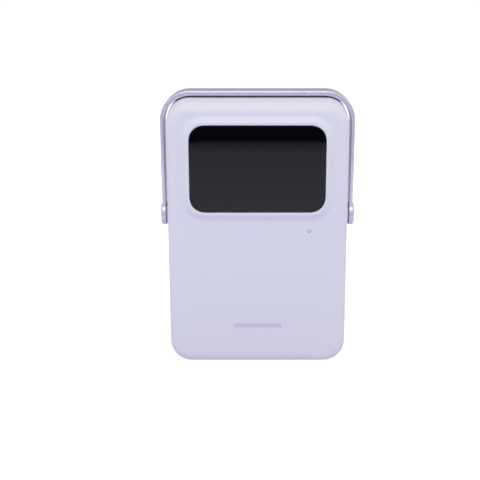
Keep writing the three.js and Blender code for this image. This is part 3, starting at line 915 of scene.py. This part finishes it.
def handleStrap():
    # A point s in from the edge stands at y = shrink times (half depth - s). The inner face
    # and the strap's outer face drop by e - sqrt(e^2 - (e - s)^2) at a rounded edge. The ear
    # is a disc whose height falls from its face by an elliptic rim as r nears its radius,
    # and the larger of the two heights, softened, is the outer surface.
    columns = (column[:, None] for column in handleStations())
    innerX, innerZ, outX, outZ, thick, half, dropped, shrink = columns
    ear, rim = handle["earRadius"], handle["rimHeight"]

    def across(radius, roundSteps, flatSteps):
        curve = radius * (1 - np.cos(steps(roundSteps) * quarterTurn)) + 0 * half
        inward = np.concatenate([curve, radius + (half - radius) * steps(flatSteps)[1:]], axis=1)
        y = shrink * (half - inward)
        edge = np.clip(half - np.hypot(y, dropped), 0, radius)
        drop = radius - np.sqrt(radius ** 2 - (radius - edge) ** 2)
        bothY = np.concatenate([y, -y[:, -2::-1]], axis=1)
        return bothY, np.concatenate([drop, drop[:, -2::-1]], axis=1)

    outerY, outerDrop = across(handle["edgeRound"], 5, 9)
    innerY, innerDrop = across(handle["innerRound"], 3, 4)
    distance = np.hypot(outerY, innerZ - pivotHeight)
    nearRim = np.clip(1 - (ear - distance) / handle["rimWidth"], 0, 1)
    dome = handle["ear"] - rim * (1 - np.sqrt(1 - nearRim ** 2))
    dome = dome - handle["earSlope"] * np.maximum(distance - ear, 0)
    risen = smooth(innerZ - pivotHeight, *handle["strapEnd"])
    strapFace = thick - outerDrop - handle["strapSink"] * (1 - risen)
    gap = dome - strapFace
    merged = (dome + strapFace + np.sqrt(gap ** 2 + handle["blend"] ** 2)) / 2
    outerFace = np.where(innerZ > pivotHeight + 2 * ear, strapFace, merged)
    y = np.concatenate([outerY, innerY[:, ::-1]], axis=1)
    height = np.concatenate([outerFace, innerDrop[:, ::-1]], axis=1)
    right = np.stack([innerX + outX * height, y, innerZ + outZ * height], axis=-1)
    left = right[-2::-1] * np.array([-1, 1, 1])
    strap = writeMesh("handle_strap", np.concatenate([right, left]))
    end, radius = handle["boreEnd"], handle["boreRadius"]
    bore = [[frontHigh[0], 0], [frontHigh[0], radius], [end, radius], [end, 0]]
    centre = (0, 0, pivotHeight)
    combine(strap, [turned("bore", bore, centre, side=side, count=32) for side in (1, -1)])
    shadeSmooth(strap, 40)
    return strap


addPiece(handleStrap(), finishes["handle"], "handle_metal", "handle", "handle")


bush = {
    "flangeRadius": 4.2,
    "flangeGap": 0.15,  # between the flange and the side of the body
    "sleeveRadius": 2.3,
    "boreRadius": 1.7,
    "edgeRound": 0.25,
}


def pivotBush(name, side):
    low, high = nodeBox("right_pivot_bush")
    inner, outer, face = low[0], high[0], body["halfWidth"] + bush["flangeGap"]
    soft = bush["edgeRound"]
    profile = softened([
        (inner, bush["boreRadius"], 0.1),
        (inner, bush["sleeveRadius"], 0.2),
        (face, bush["sleeveRadius"], 0),
        (face, bush["flangeRadius"], soft),
        (outer, bush["flangeRadius"], soft),
        (outer, bush["boreRadius"], 0.1),
    ])
    return turned(name, profile, (0, 0, pivotHeight), side=side, loopRows=True)


addPiece(pivotBush("right_bush", 1), finishes["bush"], "bush_plastic", "body", "right_pivot_bush")
addPiece(pivotBush("left_bush", -1), finishes["bush"], "bush_plastic", "body", "left_pivot_bush")


button = {
    "edgeRound": 0.35,
    "dish": 0.12,
    "dishInsets": [-0.8, -1.3],
    "flange": 1.0,
    "flangeInner": -1.2,
    "flangeThickness": 0.8,
    "flangeGap": 0.1,  # between the flange and the wall in front of it
}


def powerButton():
    # rings of a round-ended outline, from the middle of the flange's back round its edge
    # and up the cap, whose front dips by the dish
    half, length = holes["buttonHalfWidth"], holes["buttonHalfLength"]
    top, flange = buttonHigh[0], button["flange"]
    flangeFront = body["halfWidth"] - body["wall"] - button["flangeGap"]
    edge, turn = button["edgeRound"], steps(5) * quarterTurn
    grow = np.concatenate([
        [button["flangeInner"], flange, flange, 0, 0],
        -edge * (1 - np.cos(turn)),
        button["dishInsets"],
    ])
    back = flangeFront - button["flangeThickness"]
    depth = np.concatenate([
        [back, back, flangeFront, flangeFront, flangeFront + 0.2],
        top - edge * (1 - np.sin(turn)),
        [top - button["dish"] * 0.7, top - button["dish"]],
    ])
    rows = outlineRows(half + grow, length + grow, half + grow - 10 * sliver, buttonZ, depth)
    cap = writeMesh("button_cap", rings(rows, "x", cornerSteps=12, sideSteps=4), capEnds=True)
    shadeSmooth(cap)
    return cap


def socketShell(name, node, wall, cornerRadius=None):
    # a tube with a rolled mouth: rings go along the outside, round the mouth and back inside
    low, high = nodeBox(node)
    halfY, halfZ, radius, centre = pillRow(node, 0)
    radius = cornerRadius or radius
    turn = steps(8) * 2 * quarterTurn
    roll = wall / 2
    grow = np.concatenate([[0], -roll * (1 - np.cos(turn)), [-wall]])
    depth = np.concatenate([[low[0]], high[0] - roll + roll * np.sin(turn), [low[0]]])
    rows = outlineRows(halfY + grow, halfZ + grow, radius + grow, centre, depth)
    tube = writeMesh(name, rings(rows, "x", cornerSteps=10, sideSteps=4), loopRows=True)
    shadeSmooth(tube)
    return tube


addPiece(powerButton(), finishes["button"], "button_plastic", "button", "power_button")
cans = {
    "usb_a_shell": socketShell("usb_a_can", "usb_a_shell", wall=0.35, cornerRadius=0.5),
    "usb_c_shell": socketShell("usb_c_can", "usb_c_shell", wall=0.3),
}
for node, can in cans.items():
    addPiece(can, finishes["nickel"], "nickel_steel", "body", node)


def middleHeight(node):
    low, high = nodeBox(node)
    return (low[2] + high[2]) / 2


wideZ, slimZ = middleHeight("usb_a_tongue"), middleHeight("usb_c_tongue")
tongueFinishes = {
    "usb_a_tongue": tongueFinish("wide socket tongue", wideZ, pitch=2.4, count=4),
    "usb_c_tongue": tongueFinish("slim socket tongue", slimZ, pitch=0.5, count=12),
}
keptNodes = {
    "foam": ("display_gasket", "cell_tape", "rear_foam_pad"),
    "black": (
        "display_panel", "power_switch", "controller_chip", "power_inductor", "filter_capacitor",
    ),
    "steel": (
        "display_backplate", "right_pivot_pin", "left_pivot_pin",
        "right_friction_washer", "left_friction_washer",
        "right_retaining_clip", "left_retaining_clip", "lower_board_screw", "upper_board_screw",
    ),
    "nickel": (
        "front_cell_positive_tab", "front_cell_negative_tab",
        "rear_cell_positive_tab", "rear_cell_negative_tab",
    ),
    "board": ("main_board", "protection_board"),
    "foil": ("front_cell", "rear_cell"),
    "flex": ("display_flex",),
    "clear": ("status_led",),
    "redWire": ("battery_lead_positive",),
    "blackWire": ("battery_lead_negative",),
}


def refinish(node, material):
    mesh = frame["nodes"][node].data
    mesh.materials.clear()
    mesh.materials.append(material)


for finishName, nodes in keptNodes.items():
    for node in nodes:
        refinish(node, finishes[finishName])
for node, material in tongueFinishes.items():
    refinish(node, material)
print("packed nodes refinished")


black, white = (0.0, 0.0, 0.0, 1), (1, 1, 1, 1)
paper = {
    "tone": (0.62, 0.62, 0.625),
    "nearGlow": 0.52,  # painted glow: the floor glows, less so close to the object, so the contact shadow stays faint
    "farGlow": 0.75,
    "glowReach": (0.06, 0.5),
    "reach": 0.9,
}


def floorFinish():
    # pale paper: slow noise sways the tone and roughness, fine noise the bump, and the painted
    # glow grows with the distance sqrt(x^2 + y^2), so the floor is painted darker close to the
    # object
    near, far = ((paper[name],) * 3 + (1,) for name in ("nearGlow", "farGlow"))

    def build(place):
        x, y = place.axis("X"), place.axis("Y")
        away = (x * x + y * y).root().ramp(*paper["glowReach"])
        slow = place.noise(6.0, 2.0)
        fibre = place.noise(900.0, 2.0)
        return {
            "Base Color": slow.blend(colour(paper["tone"], 0.995), colour(paper["tone"], 1.005)),
            "Roughness": 0.85 + (slow - 0.5) * 0.1,
            "Normal": fibre.bumped(0.01 * metresPerMm),
            # painted glow, weaker close to the object
            "Emission Color": away.blend(near, far),
        }

    return newFinish("pale floor", build, {"Specular IOR Level": 0.1, "Emission Strength": 1.0})


card = {
    "edgeY": -0.533,  # the pale card that gloss and bounced light see ends here
    "lift": 0.0002,
    "front": (0.94, 0.92, 1.12, 1),
    "back": (0.96, 0.96, 1.04, 1),
    "backFrom": (-0.1, 0.1),
    "farRise": (-0.572, -0.455, 0.0, 0.8),
    "nearRise": (-0.45, -0.28, 0.0, 0.2),
    "closeShade": (0.02, 0.13, 0.78, 1.0),
}


def cardFinish():
    # The floor as gloss and bounced light see it: its glow rises over y in two eased steps
    # from the front edge on, is a little lower where sqrt(x^2 + y^2) is small, and has
    # another tone behind the object.
    def build(place):
        x, y = place.axis("X"), place.axis("Y")
        shade = (x * x + y * y).root().ramp(*card["closeShade"])
        away = y.ramp(*card["farRise"]) + y.ramp(*card["nearRise"])
        behind = y.ramp(*card["backFrom"])
        glow = behind.blend(away.blend(black, card["front"]), card["back"])
        return {
            "Base Color": place.noise(6.0, 2.0).blend(black, (0.01, 0.01, 0.01, 1)),
            "Emission Color": shade.blend(black, glow),
        }

    fixed = {"Specular IOR Level": 0.0, "Emission Strength": 1.0}
    return newFinish("reflected floor", build, fixed)


def flatSheet(name, nearY, height, material):
    reach = paper["reach"]
    mesh = bpy.data.meshes.new(name)
    corners = [(-reach, nearY), (reach, nearY), (reach, reach), (-reach, reach)]
    mesh.from_pydata([(x, y, height) for x, y in corners], [], [(0, 1, 2, 3)])
    sheet = bpy.data.objects.new(name, mesh)
    bpy.context.scene.collection.objects.link(sheet)
    mesh.materials.append(material)
    return sheet


def areaLight(name, spot, target, size, energy):
    lamp = bpy.data.lights.new(name, "AREA")
    lamp.shape = "DISK"
    lamp.size = size
    lamp.energy = energy
    made = bpy.data.objects.new(name, lamp)
    bpy.context.scene.collection.objects.link(made)
    made.location = spot
    made.rotation_euler = (Vector(target) - Vector(spot)).to_track_quat("-Z", "Y").to_euler()
    return made


sky = {
    "seen": 1.02,
    "strength": 0.75,
    "dark": (0.012, 0.012, 0.013, 1),
    "darkUp": (0.03, 0.15, 1.0, 0.0),
    "darkBack": (-0.1, -0.5),
    "grey": (0.2, 0.2, 0.2, 1),
    "greyUp": (0.0, 0.2),
    "greyBack": (-0.2, 0.4),
}


def skyWorld():
    # White for the camera and dimmer for the object; gloss sees a dark room low on the
    # camera's side, grey high at the back and the dimmer white everywhere else.
    world = bpy.data.worlds.new("studio")
    world.use_nodes = True
    tree = world.node_tree
    tree.nodes.clear()
    start = Wire(tree)
    direction = start.node("ShaderNodeTexCoord", out="Generated")
    glossy = start.node("ShaderNodeLightPath", out="Is Glossy Ray")
    seen = start.node("ShaderNodeLightPath", out="Is Camera Ray")
    up, back = direction.axis("Z"), direction.axis("Y")
    dim = glossy * up.ramp(*sky["darkUp"]) * back.ramp(*sky["darkBack"])
    grey = glossy * up.ramp(*sky["greyUp"]) * back.ramp(*sky["greyBack"])
    tone = dim.blend(grey.blend(white, sky["grey"]), sky["dark"])
    strength = sky["strength"] + seen * (sky["seen"] - sky["strength"])
    background = start.node("ShaderNodeBackground", {}, {"Color": tone, "Strength": strength})
    start.node("ShaderNodeOutputWorld", {}, {"Surface": background}, out=None)
    bpy.context.scene.world = world


floor = flatSheet("floor", -paper["reach"], 0, floorFinish())
floor.visible_glossy = floor.visible_diffuse = False
glossFloor = flatSheet("reflected_floor", card["edgeY"], card["lift"], cardFinish())
glossFloor.visible_camera = False
glossFloor.visible_transmission = glossFloor.visible_shadow = False
skyWorld()
lights = {
    # where each disk hangs, how wide it is and its energy
    "key": ((0.0, -0.45, 0.75), 0.6, 2.75),
    "left side": ((-0.8, -0.1, 0.35), 0.5, 0.4),
    "right side": ((0.8, -0.1, 0.35), 0.5, 0.4),
}
for name, (spot, size, energy) in lights.items():
    areaLight(name, spot, (0, 0, 0.05), size, energy)

view = {"lens": 71, "sensor": 36, "shift": -0.0365, "eye": (0, -0.3584, 0.1455), "down": 15.5}
camera = bpy.data.objects.new("camera", bpy.data.cameras.new("camera"))
bpy.context.scene.collection.objects.link(camera)
camera.data.lens = view["lens"]
camera.data.sensor_width = view["sensor"]
camera.data.shift_x = view["shift"]
camera.location = view["eye"]
camera.rotation_euler = (math.radians(90 - view["down"]), 0, 0)
bpy.context.scene.camera = camera
bpy.context.scene.view_settings.view_transform = "Standard"
print("stage set")
